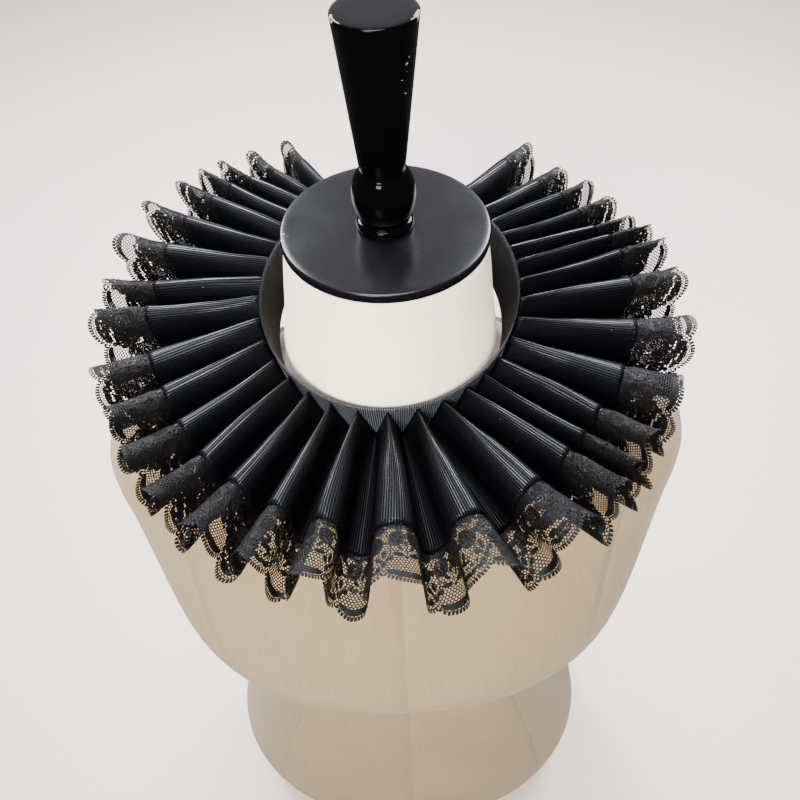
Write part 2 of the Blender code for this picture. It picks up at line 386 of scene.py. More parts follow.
class RuffStageSettings(bpy.types.PropertyGroup):
    floor_colour: colour_setting("Floor", "Colour of the plain floor", (0.80, 0.705, 0.635))
    key_power: power_setting("Top light", "Power of the soft light overhead", 44.0)
    side_power: power_setting("Side lights", "Power of the lights beside the form", 60.0)
    back_power: power_setting("Back light", "Power of the light behind the form", 15.0)
    front_power: power_setting("Front light", "Power of the wide light in front", 17.0)
    ceiling_power: power_setting("Ceiling", "Power of the even light overhead", 52.0)
    glint_power: power_setting(
        "Glint", "Power of the small light that glints in the lacquer", 10.0
    )
    room_light: power_setting("Room", "Strength of the even light of the room", 0.12, "NONE")


# ---------------------------------------------------------------- helpers


def power(value, exponent):
    return math.copysign(abs(value) ** exponent, value)


def smooth_step(low, high, value):
    share = min(1.0, max(0.0, (value - low) / (high - low)))
    return share * share * (3.0 - 2.0 * share)


def mesh_piece(name, bm, materials, replaces=()):
    """Turn a bmesh into a smooth piece that rides on the part's body."""
    mesh = bpy.data.meshes.new(name)
    bm.to_mesh(mesh)
    bm.free()
    for one in materials:
        mesh.materials.append(one)
    mesh.shade_smooth()
    made = bpy.data.objects.new(name, mesh)
    bpy.context.scene.collection.objects.link(made)
    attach(made, BODY)
    if replaces:
        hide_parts(*replaces)
    return made


def give_wall(piece, thickness, offset=0.0):
    wall = piece.modifiers.new("Wall", "SOLIDIFY")
    wall.thickness = thickness
    wall.offset = offset
    wall.use_even_offset = False


def give_subdivision(piece, levels):
    rounder = piece.modifiers.new("Smooth", "SUBSURF")
    rounder.levels = levels
    rounder.render_levels = levels


def cloth_grid(columns, rows, place, cloth_uv):
    """A grid moved onto its place, with a UV map in metres of cloth. Its faces look outwards."""
    bm = bmesh.new()
    bmesh.ops.create_grid(bm, x_segments=columns, y_segments=rows, size=0.5)
    uv = bm.loops.layers.uv.new("Cloth")
    for face in bm.faces:
        for loop in face.loops:
            co = loop.vert.co
            loop[uv].uv = cloth_uv((co.x + 0.5) * columns, (co.y + 0.5) * rows)
    for vert in bm.verts:
        column = round((vert.co.x + 0.5) * columns)
        row = round((vert.co.y + 0.5) * rows)
        vert.co = place(column, row)
    bmesh.ops.reverse_faces(bm, faces=bm.faces)
    return bm


def spun(shape, steps):
    """A closed bmesh of a profile of radius and height that is spun about the Z axis."""
    bm = bmesh.new()
    points = [bm.verts.new((radius, 0.0, height)) for radius, height in shape]
    lines = [bm.edges.new(pair) for pair in zip(points, points[1:])]
    bmesh.ops.spin(
        bm,
        geom=points + lines,
        cent=(0, 0, 0),
        axis=(0, 0, 1),
        angle=math.tau,
        steps=steps,
        use_merge=True,
    )
    bmesh.ops.remove_doubles(bm, verts=bm.verts, dist=0.01 * MM)
    bmesh.ops.recalc_face_normals(bm, faces=bm.faces)
    if bm.calc_volume(signed=True) < 0:
        bmesh.ops.reverse_faces(bm, faces=bm.faces)
    return bm


def add_stitch(bm, start, end, thread, up):
    """One stitch: a drop of thread between two points, a little sunk in the cloth."""
    along = end - start
    turn = along.to_track_quat("X", "Z").to_matrix().to_4x4()
    middle = (start + end) / 2 + up * thread * (0.5 - STITCH_SINK)
    size = Matrix.Diagonal((along.length / 2, thread * 0.55, thread * 0.55, 1.0))
    bmesh.ops.create_icosphere(
        bm, subdivisions=1, radius=1.0, matrix=Matrix.Translation(middle) @ turn @ size
    )


def add_band_stitches(bm, start, end, count, out, thread):
    """A row of stitches on the neckband, from one (angle, share down) to another."""
    start, end = Vector(start), Vector(end)
    for k in range(count):
        first = start.lerp(end, (k + 0.15) / count)
        last = start.lerp(end, (k + 0.85) / count)
        up = band_out(first.x) * math.copysign(1.0, out)
        add_stitch(bm, band_point(*first, out), band_point(*last, out), thread, up)


# ---------------------------------------------------------------- the ruffle's surface


def ring_point(ring, degrees):
    """A point of a tilted ring, at an angle from the front."""
    angle = math.radians(degrees)
    tilt = math.radians(ring["tilt"])
    side = math.radians(ring["side_tilt"])
    across = ring["radius"] * math.sin(angle)
    forward = ring["radius"] * math.cos(angle)
    x, y, z = ring["centre"]
    return Vector(
        (
            x + across * math.cos(side),
            y - forward * math.cos(tilt),
            z - forward * math.sin(tilt) + across * math.sin(side),
        )
    )


def band_out(degrees):
    """The neckband's outward normal."""
    top = ring_point(BAND_TOP, degrees)
    bottom = ring_point(BAND_BOTTOM, degrees)
    along = ring_point(BAND_TOP, degrees + 1.0) - ring_point(BAND_TOP, degrees - 1.0)
    return along.cross(top - bottom).normalized()


def band_point(degrees, down, out=0.0):
    """A point of the neckband's middle surface, from its top edge (0) to its bottom (1)."""
    top = ring_point(BAND_TOP, degrees)
    bottom = ring_point(BAND_BOTTOM, degrees)
    if not out:
        return top.lerp(bottom, down)
    return top.lerp(bottom, down) + band_out(degrees) * out


def outward(degrees):
    angle = math.radians(degrees)
    return Vector((math.sin(angle), -math.cos(angle), 0.0))


def rim_z(degrees):
    return RIM_HEIGHT - RIM_FRONT_FALL * math.cos(math.radians(degrees))


def crest_ends(fold):
    neck, rim, radius, _ = fold
    end = Vector((0.0, BAND_TOP["centre"][1], rim_z(rim))) + outward(rim) * radius * CM
    return band_point(neck, PLEAT_TOP, SEWN_OUT), end


def valley_ends(neck, rim):
    start = band_point(neck, PLEAT_FOOT, SEWN_OUT)
    fall = rim_z(rim) - PLEAT_DEPTH - start.z
    centre = Vector((0.0, BAND_TOP["centre"][1], 0.0))
    flat = Vector((start.x, start.y, 0.0)) - centre
    reach = flat.length + math.sqrt(RIBBON_WIDTH**2 - fall**2)
    end = centre + outward(rim) * reach
    end.z = start.z + fall
    return start, end


def valley_lines():
    """The valley lines: one before each fold and one after the last."""
    made = [valley_ends(LEFT_END, FOLDS[0][1] - END_TURN)]
    for before, after in zip(FOLDS, FOLDS[1:]):
        made.append(valley_ends((before[0] + after[0]) / 2, (before[1] + after[1]) / 2))
    made.append(valley_ends(RIGHT_END, FOLDS[-1][1] + END_TURN))
    return made


CRESTS = [crest_ends(fold) for fold in FOLDS]
VALLEYS = valley_lines()


def ruffle_point(column, along):
    """A point of the pleated surface. Along is 0 at the neck and 1 at the ribbon's outer edge."""
    fold = min(int(column / STEPS_PER_PLEAT), len(FOLDS) - 1)
    across = (column / STEPS_PER_PLEAT - fold) * 2.0 - 1.0
    crest_start, crest_end = CRESTS[fold]
    valley_start, valley_end = VALLEYS[fold + (across > 0)]
    crest = crest_start + (crest_end - crest_start) * along
    valley = valley_start + (valley_end - valley_start) * along
    away = abs(across)
    soft = min(1.0, max(0.0, along) * 2.0) ** 0.75
    broad = CREST_ROUND * math.sin(math.tau * away) / math.tau
    full = FOLDS[fold][3] * math.sin(math.pi * away) / math.pi
    sideways = away + soft * (broad + full)
    down = (1.0 - soft) * away + soft * (1.0 - math.cos(math.pi * away)) / 2.0
    gap = valley - crest
    outwards = Vector((crest_end.x - crest_start.x, crest_end.y - crest_start.y, 0.0)).normalized()
    depth = outwards * gap.dot(outwards)
    depth.z = gap.z
    sway = PLEAT_SWAY * math.sin(2.39 * fold + 1.0) * math.sin(math.pi * min(1.0, max(0.0, along)))
    aside = Vector((-outwards.y, outwards.x, 0.0)) * sway * (1.0 - away) ** 2
    return crest + (gap - depth) * sideways + depth * down + aside


def cloth_life(column, along):
    """How far worn cloth stands off the even pleat: long soft waves that grow towards the rim."""
    free = smooth_step(0.12, 1.0, along)
    turn = column / STEPS_PER_PLEAT
    waves = math.sin(turn * 4.7 + along * 3.1) + 0.7 * math.sin(turn * 11.3 - along * 5.3 + 1.0)
    buckle = math.sin(along * 9.0 + turn * 2.3) * math.sin(turn * 1.9 + 0.6)
    return free * (0.30 * waves + 0.22 * buckle) * MM


def ruffle_out(column, along):
    """The ruffle's upward normal."""
    before = ruffle_point(max(column - 0.3, 0.0), along)
    after = ruffle_point(min(column + 0.3, COLUMNS), along)
    outwards = ruffle_point(column, along + 0.02) - ruffle_point(column, along - 0.02)
    return outwards.cross(after - before).normalized()


def lace_point(column, out):
    """A point of the lace, in line with the ribbon and a little raised at the front."""
    beyond = SEAM_GAP + (LACE_WIDTH - SEAM_GAP) * out
    point = ruffle_point(column, 1.0 + beyond / RIBBON_WIDTH)
    to_front = max(0.0, -(point.y - BAND_TOP["centre"][1]) / Vector((point.x, point.y)).length)
    point.z += LACE_FRONT_LIFT * to_front * out**2
    return point


def lengths_at(place, steps):
    """The length of cloth from the ribbon's first end, at each step along the ruffle."""
    lengths = [0.0]
    for step in range(steps):
        before = place(COLUMNS * step / steps)
        lengths.append(lengths[-1] + (place(COLUMNS * (step + 1) / steps) - before).length)
    return lengths


LACE_STEPS = COLUMNS * 2
LACE_LENGTHS = lengths_at(lambda column: lace_point(column, 0.75), LACE_STEPS)
RIM_LENGTHS = lengths_at(lambda column: ruffle_point(column, 1.0), LACE_STEPS)
LACE_FRONT = LACE_LENGTHS[LACE_STEPS * (2 * FRONT_FOLD + 1) // (2 * len(FOLDS))]
REPEATS = round(LACE_LENGTHS[-1] / REPEAT)


def column_at(lengths, length):
    """The column of the ruffle that this length of cloth reaches."""
    step = bisect.bisect_right(lengths, length) - 1
    step = min(max(step, 0), LACE_STEPS - 1)
    share = (length - lengths[step]) / (lengths[step + 1] - lengths[step])
    return (step + min(1.0, max(0.0, share))) * COLUMNS / LACE_STEPS


def rim_length(column):
    """The length of ribbon from its first end to this column, at its outer edge."""
    at = column * LACE_STEPS / COLUMNS
    step = min(int(at), LACE_STEPS - 1)
    return RIM_LENGTHS[step] + (RIM_LENGTHS[step + 1] - RIM_LENGTHS[step]) * (at - step)


def ribbon_point(column, along):
    """A point of the worn ribbon's middle surface."""
    return ruffle_point(column, along) + ruffle_out(column, along) * cloth_life(column, along)


def ribbon_face(column, along):
    """A point of the worn ribbon's upper face, and its normal."""
    out = ruffle_out(column, along)
    half = bpy.context.scene.ruff_ribbon.thickness / 2
    return ribbon_point(column, along) + out * half, out


# ---------------------------------------------------------------- materials


def shaded(colour, factor):
    return tuple(factor * value for value in colour)


class Nodes:
    """A node tree, with short calls for the nodes that the materials use."""

    def __init__(self, tree):
        self.tree = tree

    def fill(self, socket, value):
        if isinstance(value, bpy.types.NodeSocket):
            self.tree.links.new(value, socket)
        elif socket.type == "RGBA":
            socket.default_value = (*value[:3], 1.0)
        else:
            socket.default_value = value

    def add(self, kind, inputs=None, **settings):
        """Add a node, fill its inputs and return its outputs."""
        made = self.tree.nodes.new("ShaderNode" + kind)
        for name, value in settings.items():
            setattr(made, name, value)
        for name, value in (inputs or {}).items():
            self.fill(made.inputs[name], value)
        return made.outputs

    def math(self, operation, first, second=0.0, third=0.0):
        return self.add("Math", {0: first, 1: second, 2: third}, operation=operation)[0]

    def mix(self, share, first, second):
        return self.add("Mix", {0: share, 6: first, 7: second}, data_type="RGBA")[2]

    def noise(self, vector, scale, detail=2.0):
        return self.add("TexNoise", {"Vector": vector, "Scale": scale, "Detail": detail})[0]

    def ranged(self, value, low, high, to_low=0.0, to_high=1.0):
        values = (value, low, high, to_low, to_high)
        return self.add("MapRange", dict(enumerate(values)))[0]

    def group(self, build, **inputs):
        """Use a shared group, made when it is first used. Its first input is a vector."""
        name = build.__name__.replace("_", " ").capitalize()
        tree = bpy.data.node_groups.get(name)
        if tree is None:
            tree = bpy.data.node_groups.new(name, "ShaderNodeTree")
            for k, socket in enumerate(inputs):
                kind = "NodeSocketFloat" if k else "NodeSocketVector"
                tree.interface.new_socket(socket, in_out="INPUT", socket_type=kind)
            found = build(Nodes(tree), tree.nodes.new("NodeGroupInput").outputs)
            for socket in found:
                tree.interface.new_socket(socket, in_out="OUTPUT", socket_type="NodeSocketFloat")
            out = tree.nodes.new("NodeGroupOutput")
            for socket, value in found.items():
                tree.links.new(value, out.inputs[socket])
        made = self.tree.nodes.new("ShaderNodeGroup")
        made.node_tree = tree
        for socket, value in inputs.items():
            self.fill(made.inputs[socket], value)
        return made.outputs


class Paint(Nodes):
    """A new material and its principled shader."""

    def __init__(self, name):
        self.made = bpy.data.materials.new(name)
        self.made.use_nodes = True
        super().__init__(self.made.node_tree)

    @cached_property
    def cloth(self):
        """The piece's own map, in metres of cloth."""
        return self.add("UVMap", uv_map="Cloth")[0]

    @cached_property
    def place(self):
        return self.add("TexCoord")["Object"]

    def finish(self, values, height=None, distance=0.0, strength=1.0):
        shader = self.tree.nodes["Principled BSDF"]
        if height is not None:
            bump = {"Height": height, "Distance": distance, "Strength": strength}
            values["Normal"] = self.add("Bump", bump)[0]
        for name, value in values.items():
            self.fill(shader.inputs[name], value)
        return self.made


def rib_weave(nodes, given):
    """Round ribs across a ribbon, with the fine warp that crosses them."""
    parts = nodes.add("SeparateXYZ", {0: given["Cloth"]})
    stretched = nodes.add("CombineXYZ", {0: parts[0], 1: nodes.math("MULTIPLY", parts[1], 0.06)})
    drift = nodes.noise(given["Cloth"], 60.0, 1.0)
    turns = nodes.math("DIVIDE", parts[0], given["Pitch"])
    shifted = nodes.math("MULTIPLY_ADD", drift, RIB_DRIFT, turns)
    wave = nodes.math("SINE", nodes.math("MULTIPLY", shifted, math.pi))
    crown = nodes.math("POWER", nodes.math("ABSOLUTE", wave), 0.75)
    warp = nodes.math("SINE", nodes.math("MULTIPLY", parts[1], math.tau / WARP_PITCH))
    height = nodes.math("MULTIPLY_ADD", warp, 0.05, crown)
    return {"Height": height, "Crown": crown, "Slub": nodes.noise(stretched[0], 900.0)}


def plain_weave(nodes, given):
    """Threads that pass over and under each other, of uneven thickness."""
    cloth = given["Cloth"]
    drift = nodes.add("TexNoise", {"Vector": cloth, "Scale": 120.0})[1]
    reach = (0.6 * MM, 0.6 * MM, 0.0)
    moved = nodes.add("VectorMath", {0: drift, 1: reach, 2: cloth}, operation="MULTIPLY_ADD")
    parts = nodes.add("SeparateXYZ", {0: moved[0]})
    turns = [nodes.math("DIVIDE", parts[k], given["Pitch"]) for k in (0, 1)]
    waves = [nodes.math("SINE", nodes.math("MULTIPLY", turn, math.pi)) for turn in turns]
    warp, weft = (nodes.math("ABSOLUTE", wave) for wave in waves)
    both = nodes.math("ADD", *(nodes.math("FLOOR", turn) for turn in turns))
    over = nodes.math("PINGPONG", both, 1.0)
    long_way = nodes.add("CombineXYZ", {0: parts[0], 1: nodes.math("MULTIPLY", parts[1], 0.05)})
    return {
        "Height": nodes.add("Mix", {0: over, 2: warp, 3: weft})[0],
        "Slub": nodes.noise(long_way[0], 700.0, 3.0),
        "Cloud": nodes.noise(cloth, 14.0, 4.0),
    }


def lacquer_wear(nodes, given):
    """Where lacquer is rubbed or chipped off: noise that shows only near worn edges."""
    place = given["Place"]
    chips, patches = nodes.noise(place, 420.0, 3.0), nodes.noise(place, 70.0, 1.0)
    both = nodes.math("MULTIPLY", nodes.math("ADD", chips, patches), 0.5)
    whole = nodes.math("SUBTRACT", 1.0, nodes.math("MULTIPLY", given["Edge"], given["Amount"]))
    return {
        "Bare": nodes.math("GREATER_THAN", both, whole),
        "Smear": nodes.noise(place, 35.0, 5.0),
        "Ripple": nodes.noise(place, 120.0, 1.0),
    }


def grosgrain(name, colour, pitch, crests=False, painted_light_half=0.0):
    """Black grosgrain: satin ribs with painted highlight on their crowns and painted shade in
    their grooves, and a little lint.

    With crests, the sheen is kept for the pleats' crests. Painted_light_half is half the length of
    a band's middle, whose rib crowns are painted paler there as painted light.
    """
    paint = Paint(name)
    ribs = paint.group(rib_weave, Cloth=paint.cloth, Pitch=pitch)
    # Painted highlight and shade: the base colour is lighter on the rib crowns and darker in the
    # grooves
    base = paint.mix(ribs["Crown"], shaded(colour, 0.2), shaded(colour, 1.8))
    # Painted light on the band's front middle: its rib crowns are painted paler there
    if painted_light_half:
        along = paint.math("ABSOLUTE", paint.add("SeparateXYZ", {0: paint.cloth})[0])
        middle = paint.ranged(along, 0.75 * painted_light_half, painted_light_half, 1.0, 0.0)
        pale = paint.math("MULTIPLY", middle, paint.ranged(ribs["Crown"], 0.55, 0.95))
        base = paint.mix(pale, base, PAINTED_LIGHT_RIB)
    worn = paint.mix(paint.ranged(ribs["Slub"], 0.35, 0.7, 0.0, 0.3), base, colour)
    cells = paint.add("TexVoronoi", {"Vector": paint.cloth, "Scale": 1.0 / LINT_SPACING})[0]
    floats = paint.ranged(ribs["Crown"], 0.72, 0.98)
    streaks = paint.ranged(ribs["Slub"], 0.3, 0.65, 0.45, 1.0)
    sheen = paint.math("MULTIPLY", floats, streaks)
    if crests:
        crest = paint.add("Attribute", attribute_name="crest")["Fac"]
        sheen = paint.math("MULTIPLY", sheen, paint.ranged(crest, 0.15, 0.7, 0.14, 1.0))
    look = {
        "Base Color": paint.mix(paint.math("LESS_THAN", cells, LINT_SIZE), worn, LINT),
        "Roughness": paint.ranged(ribs["Slub"], 0.3, 0.7, 0.40, 0.52),
        "Coat Weight": sheen,
        "Coat Roughness": 0.33,
        "Coat Tint": (0.90, 0.94, 1.0),
        "Specular IOR Level": 0.06,
    }
    return paint.finish(look, ribs["Height"], 0.26 * MM)


def lace_thread(name, colour):
    """Twisted lace thread, with a faint gloss."""
    paint = Paint(name)
    twist = paint.noise(paint.cloth, 2600.0, 1.0)
    look = {
        "Base Color": paint.mix(paint.ranged(twist, 0.35, 0.7), colour, shaded(colour, 2.6)),
        "Roughness": paint.ranged(twist, 0.3, 0.7, 0.42, 0.62),
        "Specular IOR Level": 0.22,
    }
    return paint.finish(look, twist, 0.15 * MM)


def lace_clothwork(name, colour):
    """The filled parts of the lace: close loops with pinholes between them."""
    paint = Paint(name)
    mesh = {"Vector": paint.cloth, "Scale": 1500.0, "Randomness": 0.4}
    loops = paint.add("TexVoronoi", mesh)[0]
    glints = paint.noise(paint.cloth, 1100.0, 1.0)
    look = {
        # Painted highlight and shade: the colour is lighter on the raised loops and darker down by
        # the pinholes
        "Base Color": paint.mix(paint.ranged(loops, 0.1, 0.6), colour, shaded(colour, 3.4)),
        "Alpha": paint.math("GREATER_THAN", loops, PINHOLE),
        "Roughness": paint.ranged(loops, 0.1, 0.6, 0.65, 0.45),
        "Coat Weight": paint.ranged(glints, 0.52, 0.72),
        "Coat Roughness": 0.36,
        "Specular IOR Level": 0.06,
    }
    return paint.finish(look, loops, 0.32 * MM)


def linen(name, colour, body, pitch):
    """Unbleached linen with slubs and slight soiling. Below the neck it is yellower and darker:
    its own tone with painted shade.
    """
    paint = Paint(name)
    weave = paint.group(plain_weave, Cloth=paint.cloth, Pitch=pitch)
    height = paint.add("SeparateXYZ", {0: paint.cloth})[1]
    neck = paint.ranged(height, NECK_SEAM - 0.3 * MM, NECK_SEAM + 0.3 * MM)
    seam = paint.math("ABSOLUTE", paint.math("SUBTRACT", height, NECK_SEAM))
    # Painted shade: the colour is darker where the threads dip under each other
    threads = paint.ranged(weave["Height"], 0.1, 0.9, 0.80, 1.06)
    slubs = paint.ranged(weave["Slub"], 0.5, 0.75, -0.03, 0.10)
    seam_dark = paint.ranged(seam, 0.2 * MM, 0.9 * MM, 0.55, 1.0)
    shade = paint.math("MULTIPLY", paint.math("ADD", threads, slubs), seam_dark)
    # Below the neck seam the colour turns to the body's: a yellower tone with painted shade
    plain = paint.mix(neck, body, colour)
    woven = paint.add("VectorMath", {0: plain, "Scale": shade}, operation="SCALE")[0]
    soil = paint.ranged(weave["Cloud"], 0.45, 0.8, 0.0, 0.16)
    look = {
        "Base Color": paint.mix(soil, woven, (0.42, 0.33, 0.21)),
        "Roughness": paint.ranged(weave["Slub"], 0.3, 0.7, 0.95, 0.82),
        "Sheen Weight": 0.12,
    }
    relief = paint.math("ADD", weave["Height"], paint.math("MULTIPLY", weave["Slub"], 1.2))
    return paint.finish(look, relief, 0.09 * MM)


def lacquer(name, colour, amount, gloss, blur):
    """Black gloss lacquer over pale wood, rubbed through at its edges."""
    paint = Paint(name)
    edge = paint.add("Attribute", attribute_name="edge")["Fac"]
    wear = paint.group(lacquer_wear, Place=paint.place, Edge=edge, Amount=amount)
    smear = paint.ranged(wear["Smear"], 0.35, 0.65, blur, blur * 1.35)
    look = {
        "Base Color": paint.mix(wear["Bare"], colour, WOOD),
        "Roughness": paint.add("Mix", {0: wear["Bare"], 2: smear, 3: 0.6})[0],
        "Specular IOR Level": gloss,
    }
    ripple = paint.math("MULTIPLY", wear["Ripple"], 0.35)
    return paint.finish(look, paint.math("SUBTRACT", ripple, wear["Bare"]), 0.12 * MM, 0.6)


def sewing_thread(name, colour):
    paint = Paint(name)
    twist = paint.noise(paint.place, 3000.0)
    look = {
        "Base Color": paint.mix(twist, colour, shaded(colour, 2.2)),
        "Roughness": paint.ranged(twist, 0.3, 0.7, 0.4, 0.6),
    }
    return paint.finish(look, twist, 0.1 * MM)


def dark_metal(name):
    """Blackened metal of the press studs, brighter where it is rubbed."""
    paint = Paint(name)
    rubbed = paint.noise(paint.place, 700.0, 4.0)
    dark, bright = (0.11, 0.11, 0.12), (0.22, 0.22, 0.23)
    look = {
        "Base Color": paint.mix(paint.ranged(rubbed, 0.35, 0.7), dark, bright),
        "Roughness": paint.ranged(rubbed, 0.3, 0.7, 0.28, 0.36),
        "Metallic": 1.0,
    }
    return paint.finish(look)


# ---------------------------------------------------------------- dress form


def section_at(height):
    """Half width, half depth, centre and squareness of the body, smooth between the sections."""
    last = len(BODY_SECTIONS) - 2
    at = 0
    while at < last and BODY_SECTIONS[at + 1][0] < height:
        at += 1
    low, high = BODY_SECTIONS[at], BODY_SECTIONS[at + 1]
    before = BODY_SECTIONS[max(at - 1, 0)]
    after = BODY_SECTIONS[min(at + 2, last + 1)]
    span = high[0] - low[0]
    share = (height - low[0]) / span
    found = []
    for k in range(1, 5):
        start = (high[k] - before[k]) / (high[0] - before[0]) * span
        end = (after[k] - low[k]) / (after[0] - low[0]) * span
        found.append(
            (2 * share**3 - 3 * share**2 + 1) * low[k]
            + (share**3 - 2 * share**2 + share) * start
            + (3 * share**2 - 2 * share**3) * high[k]
            + (share**3 - share**2) * end
        )
    return found


def body_point(height, angle):
    half_width, half_depth, behind, square = section_at(height)
    x = half_width * power(math.cos(angle), 2.0 / square)
    y = half_depth * power(math.sin(angle), 2.0 / square) + behind
    return Vector((x, y, height))


class RUFF_OT_form_cover(bpy.types.Operator):
    """Makes the linen-covered body of the dress form, with its sunk panel seams"""

    bl_idname = "ruff.form_cover"
    bl_label = "Form cover"

    def execute(self, context):
        settings = context.scene.ruff_form
        bm = bmesh.new()
        bmesh.ops.create_cone(
            bm, cap_ends=False, segments=FORM_SIDES, radius1=1.0, radius2=1.0, depth=1.0
        )
        upright = [edge for edge in bm.edges if edge.verts[0].co.z != edge.verts[1].co.z]
        bmesh.ops.subdivide_edges(bm, edges=upright, cuts=FORM_ROWS - 1, use_grid_fill=True)
        angles = {}
        for vert in bm.verts:
            angle = math.atan2(vert.co.y, vert.co.x)
            vert.co = body_point((vert.co.z + 0.5) * NECK_TOP_Z, angle)
            angles[vert] = angle
        self.sink_seams(bm, angles, settings.seam_width)
        bmesh.ops.holes_fill(bm, edges=[edge for edge in bm.edges if edge.is_boundary], sides=0)
        bmesh.ops.recalc_face_normals(bm, faces=bm.faces)
        self.map_linen(bm)
        colours = settings.linen_colour, settings.body_colour_and_shade
        cover = linen("form_linen", *colours, settings.thread_pitch)
        mesh_piece("form_cover", bm, [cover], ("form_body",))
        return {"FINISHED"}

    def map_linen(self, bm):
        """The linen's map: the turn round the body and the height, unbroken on every face."""
        uv = bm.loops.layers.uv.new("Cloth")
        for face in bm.faces:
            middle = face.calc_center_median()
            turn = math.atan2(middle.y, middle.x)
            for loop in face.loops:
                co = loop.vert.co
                angle = math.atan2(co.y, co.x)
                if angle - turn > math.pi:
                    angle -= math.tau
                elif turn - angle > math.pi:
                    angle += math.tau
                loop[uv].uv = (angle * LINEN_TURN, co.z)

    def sink_seams(self, bm, angles, width):
        """The panels meet in narrow sunk lines, at the front, the back, the sides and between."""
        step = math.tau / PANEL_SEAMS
        seams = []
        for edge in bm.edges:
            low, high = edge.verts
            if abs(low.co.z - high.co.z) < 1e-5 or max(low.co.z, high.co.z) > PANEL_SEAM_TOP:
                continue
            turns = angles[low] / step
            if abs(turns - round(turns)) < 1e-3:
                seams.append(edge)
        made = bmesh.ops.bevel(
            bm,
            geom=seams,
            offset=width / 2,
            offset_type="OFFSET",
            segments=2,
            profile=0.5,
            affect="EDGES",
            material=-1,
        )
        middles = {vert for vert in made["verts"] if len(vert.link_edges) == 4}
        bm.normal_update()
        for vert in middles:
            around = [edge.other_vert(vert) for edge in vert.link_edges]
            near = sum((other.co - vert.co).length < width for other in around)
            if near >= 2:
                vert.co -= vert.normal * width * 0.42


def turned(name, shape, steps, material, replaces, edges, chips, specks=0.0):
    """A turned piece of the neck. Its edges are worn, most at the chips, and it has specks."""
    bm = spun(shape, steps)
    edge = bm.verts.layers.float.new("edge")
    for vert in bm.verts:
        radius = Vector((vert.co.x, vert.co.y)).length
        turn = math.degrees(math.atan2(vert.co.y, vert.co.x)) % 360.0
        vert[edge] = specks * math.exp(-(((turn - SPECKS_TURN) / SPECKS_SPREAD) ** 2))
        for worn_radius, worn_height, amount in edges:
            if abs(radius - worn_radius) < 1.2 * MM and abs(vert.co.z - worn_height) < 1.0 * MM:
                near = max(math.exp(-(((turn - chip) / CHIP_SPREAD) ** 2)) for chip in chips)
                vert[edge] = max(vert[edge], amount * (0.62 + 0.38 * near))
        vert.co += Vector((0.0, NECK_AXIS_Y, NECK_TOP_Z))
    made = mesh_piece(name, bm, [material], (replaces,))
    give_subdivision(made, 1)


class RUFF_OT_cap_and_knob(bpy.types.Operator):
    """Makes the lacquered cap of the neck and its turned knob"""

    bl_idname = "ruff.cap_and_knob"
    bl_label = "Cap and knob"

    def execute(self, context):
        colour = context.scene.ruff_form.lacquer_colour
        # The cap's colour is lifted by its haze and by a cool painted reflection
        hazed_and_reflecting = tuple(value + haze for value, haze in zip(colour, CAP_HAZE_AND_REFLECTION))
        glaze = lacquer("lacquer_cap", hazed_and_reflecting, 0.45, 0.36, 0.22)
        turned("lacquered_cap", CAP_SHAPE, 72, glaze, "neck_cap", CAP_EDGES, CAP_CHIPS)
        glaze = lacquer("lacquer_knob", colour, 0.50, 0.13, 0.07)
        turned("lacquered_knob", KNOB_SHAPE, 56, glaze, "finial", KNOB_EDGES, KNOB_CHIPS, SPECKS)
        return {"FINISHED"}


# ---------------------------------------------------------------- neckband


def band_strip(name, angles, downs, out, width, columns, material, replaces, thickness):
    """A strip of ribbon along the neckband, between two angles and two shares down."""

    def angle(column):
        return angles[0] + (angles[1] - angles[0]) * column / columns

    def place(column, row):
        down = downs[0] + (downs[1] - downs[0]) * row / BAND_ROWS
        return band_point(angle(column), down, out)

    def cloth_uv(column, row):
        return (math.radians(angle(column)) * BAND_RADIUS, row / BAND_ROWS * width)

    bm = cloth_grid(columns, BAND_ROWS, place, cloth_uv)
    made = mesh_piece(name, bm, [material], (replaces,))
    give_wall(made, thickness)
    return made


class RUFF_OT_neckband(bpy.types.Operator):
    """Makes the ribbed neckband that the pleats are sewn to"""

    bl_idname = "ruff.neckband"
    bl_label = "Neckband"

    def execute(self, context):
        settings = context.scene.ruff_ribbon
        turns = (-BAND_HALF_TURN, BAND_HALF_TURN)
        cloth = grosgrain(
            "grosgrain_band", settings.colour, settings.rib_pitch * 0.8, painted_light_half=PAINTED_LIGHT_HALF
        )
        made = band_strip(
            "neckband_ribbon",
            turns,
            (0.0, 1.0),
            0.0,
            BAND_WIDTH,
            BAND_COLUMNS,
            cloth,
            "neckband",
            BAND_CLOTH,
        )
        return {"FINISHED"}


# ---------------------------------------------------------------- ribbon


class RUFF_OT_ribbon(bpy.types.Operator):
    """Makes the grosgrain ribbon in its pleats"""

    bl_idname = "ruff.ribbon"
    bl_label = "Pleated ribbon"

    def execute(self, context):
        settings = context.scene.ruff_ribbon
        columns, rows = len(FOLDS) * settings.steps, settings.rows

        def place(column, row):
            return ribbon_point(column * COLUMNS / columns, row / rows)

        def cloth_uv(column, row):
            return (rim_length(column * COLUMNS / columns), row / rows * RIBBON_WIDTH)

        bm = cloth_grid(columns, rows, place, cloth_uv)
        crest = bm.verts.layers.float.new("crest")
        uv = bm.loops.layers.uv["Cloth"]
        for vert in bm.verts:
            length = vert.link_loops[0][uv].uv.x
            step = bisect.bisect_right(RIM_LENGTHS, length) / LACE_STEPS * len(FOLDS)
            vert[crest] = (1.0 - math.cos(math.tau * step)) / 2.0
        cloth = grosgrain("grosgrain_ribbon", settings.colour, settings.rib_pitch, crests=True)
        made = mesh_piece("pleated_grosgrain", bm, [cloth], ("pleated_ribbon",))
        give_wall(made, settings.thickness)
        return {"FINISHED"}


# ---------------------------------------------------------------- lace


def mirrored(*shapes):
    """These shapes and their mirror images."""
    return shapes + tuple((-x, y, a, b, -turn, *rest) for x, y, a, b, turn, *rest in shapes)


